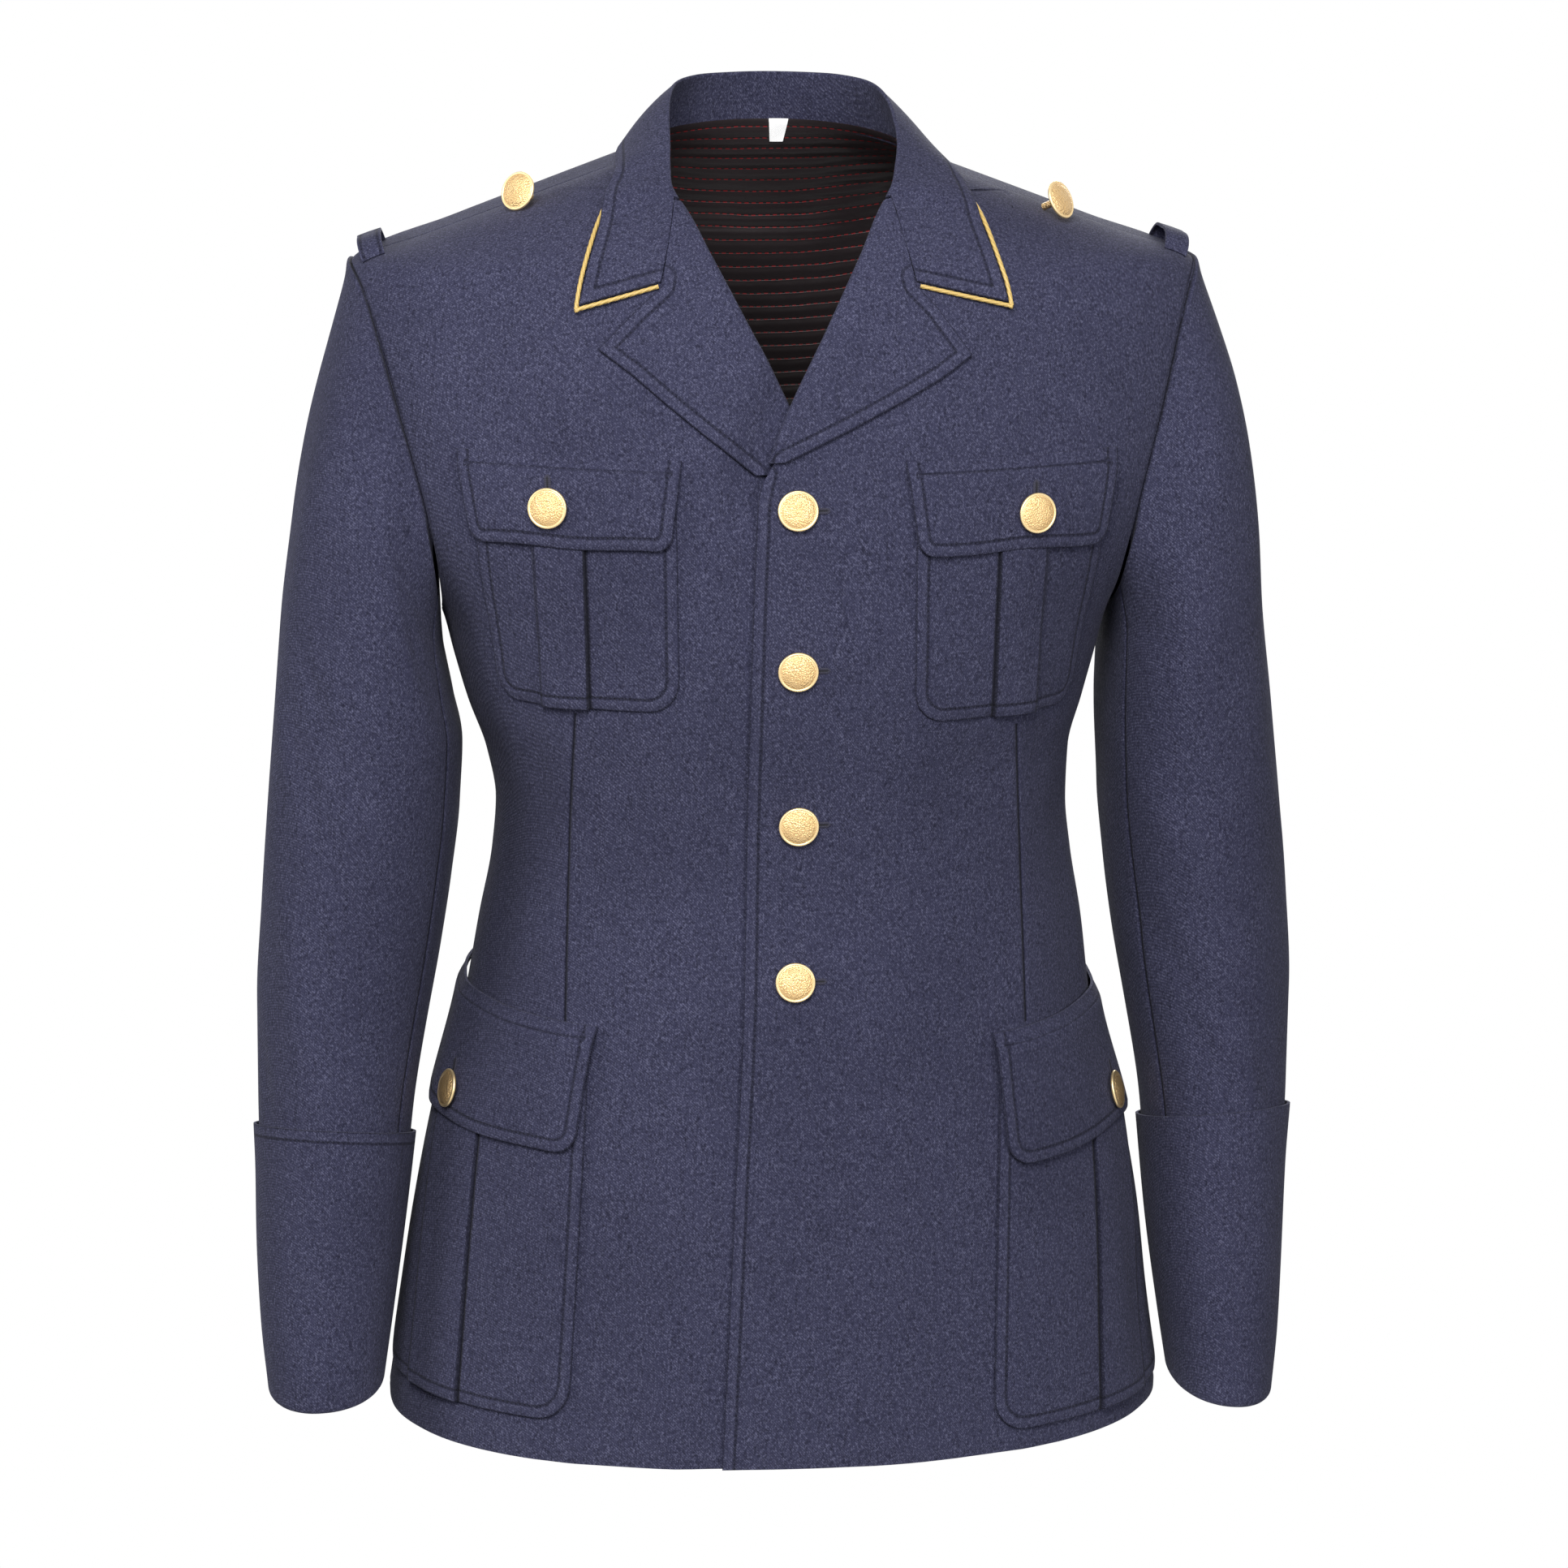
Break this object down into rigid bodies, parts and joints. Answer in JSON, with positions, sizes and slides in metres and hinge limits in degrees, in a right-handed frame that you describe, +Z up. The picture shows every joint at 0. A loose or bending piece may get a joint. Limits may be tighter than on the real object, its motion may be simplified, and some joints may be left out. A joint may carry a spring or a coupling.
{
  "type": "military uniform blouse",
  "caption": "Wool service uniform blouse with notched lapels, gold-piped collar, flapped patch pockets with box pleats, turned-back cuffs and gilt buttons, held filled out.",
  "frame": {"origin": "centre of the neck opening, level with the side neck points", "axes": "+Z up from hem to collar, -Y out of the front of the chest, +X towards the wearer's left side"},
  "size_m": [0.5964, 0.3128, 0.7573],
  "materials": {
    "back": "blue-grey wool twill, matt",
    "back_lining": "black-brown quilted satin with rows of red stitches",
    "button_chest_left": "gilt metal with a fine pebbled crown and a polished rim",
    "button_chest_right": "gilt metal with a fine pebbled crown and a polished rim",
    "button_front_1": "gilt metal with a fine pebbled crown and a polished rim",
    "button_front_2": "gilt metal with a fine pebbled crown and a polished rim",
    "button_front_3": "gilt metal with a fine pebbled crown and a polished rim",
    "button_front_4": "gilt metal with a fine pebbled crown and a polished rim",
    "button_lower_left": "gilt metal with a fine pebbled crown and a polished rim",
    "button_lower_right": "gilt metal with a fine pebbled crown and a polished rim",
    "button_shoulder_left": "gilt metal with a fine pebbled crown and a polished rim",
    "button_shoulder_right": "gilt metal with a fine pebbled crown and a polished rim",
    "chest_flap_left": "blue-grey wool twill, matt",
    "chest_flap_right": "blue-grey wool twill, matt",
    "chest_pocket_left": "blue-grey wool twill, matt",
    "chest_pocket_right": "blue-grey wool twill, matt",
    "collar": "blue-grey wool twill, matt",
    "collar_cord": "twisted yellow-gold cord",
    "cuff_left": "blue-grey wool twill, matt",
    "cuff_right": "blue-grey wool twill, matt",
    "front_left": "blue-grey wool twill, matt",
    "front_right": "blue-grey wool twill, matt",
    "lapel_left": "blue-grey wool twill, matt",
    "lapel_right": "blue-grey wool twill, matt",
    "lower_flap_left": "blue-grey wool twill, matt",
    "lower_flap_right": "blue-grey wool twill, matt",
    "lower_pocket_left": "blue-grey wool twill, matt",
    "lower_pocket_right": "blue-grey wool twill, matt",
    "shoulder_loop_left": "blue-grey wool twill, matt",
    "shoulder_loop_right": "blue-grey wool twill, matt",
    "size_tab": "white woven tape, blank",
    "sleeve_under_left": "blue-grey wool twill, matt",
    "sleeve_under_right": "blue-grey wool twill, matt",
    "sleeve_upper_left": "blue-grey wool twill, matt",
    "sleeve_upper_right": "blue-grey wool twill, matt"
  },
  "bodies": {
    "root": {"back": "back", "back_lining": "back_lining", "button_chest_left": "button_chest_left", "button_chest_right": "button_chest_right", "button_front_1": "button_front_1", "button_front_2": "button_front_2", "button_front_3": "button_front_3", "button_front_4": "button_front_4", "button_lower_left": "button_lower_left", "button_lower_right": "button_lower_right", "button_shoulder_left": "button_shoulder_left", "button_shoulder_right": "button_shoulder_right", "chest_flap_left": "chest_flap_left", "chest_flap_right": "chest_flap_right", "chest_pocket_left": "chest_pocket_left", "chest_pocket_right": "chest_pocket_right", "collar": "collar", "collar_cord": "collar_cord", "cuff_left": "cuff_left", "cuff_right": "cuff_right", "front_left": "front_left", "front_right": "front_right", "lapel_left": "lapel_left", "lapel_right": "lapel_right", "lower_flap_left": "lower_flap_left", "lower_flap_right": "lower_flap_right", "lower_pocket_left": "lower_pocket_left", "lower_pocket_right": "lower_pocket_right", "shoulder_loop_left": "shoulder_loop_left", "shoulder_loop_right": "shoulder_loop_right", "size_tab": "size_tab", "sleeve_under_left": "sleeve_under_left", "sleeve_under_right": "sleeve_under_right", "sleeve_upper_left": "sleeve_upper_left", "sleeve_upper_right": "sleeve_upper_right"}
  },
  "joints": []
}
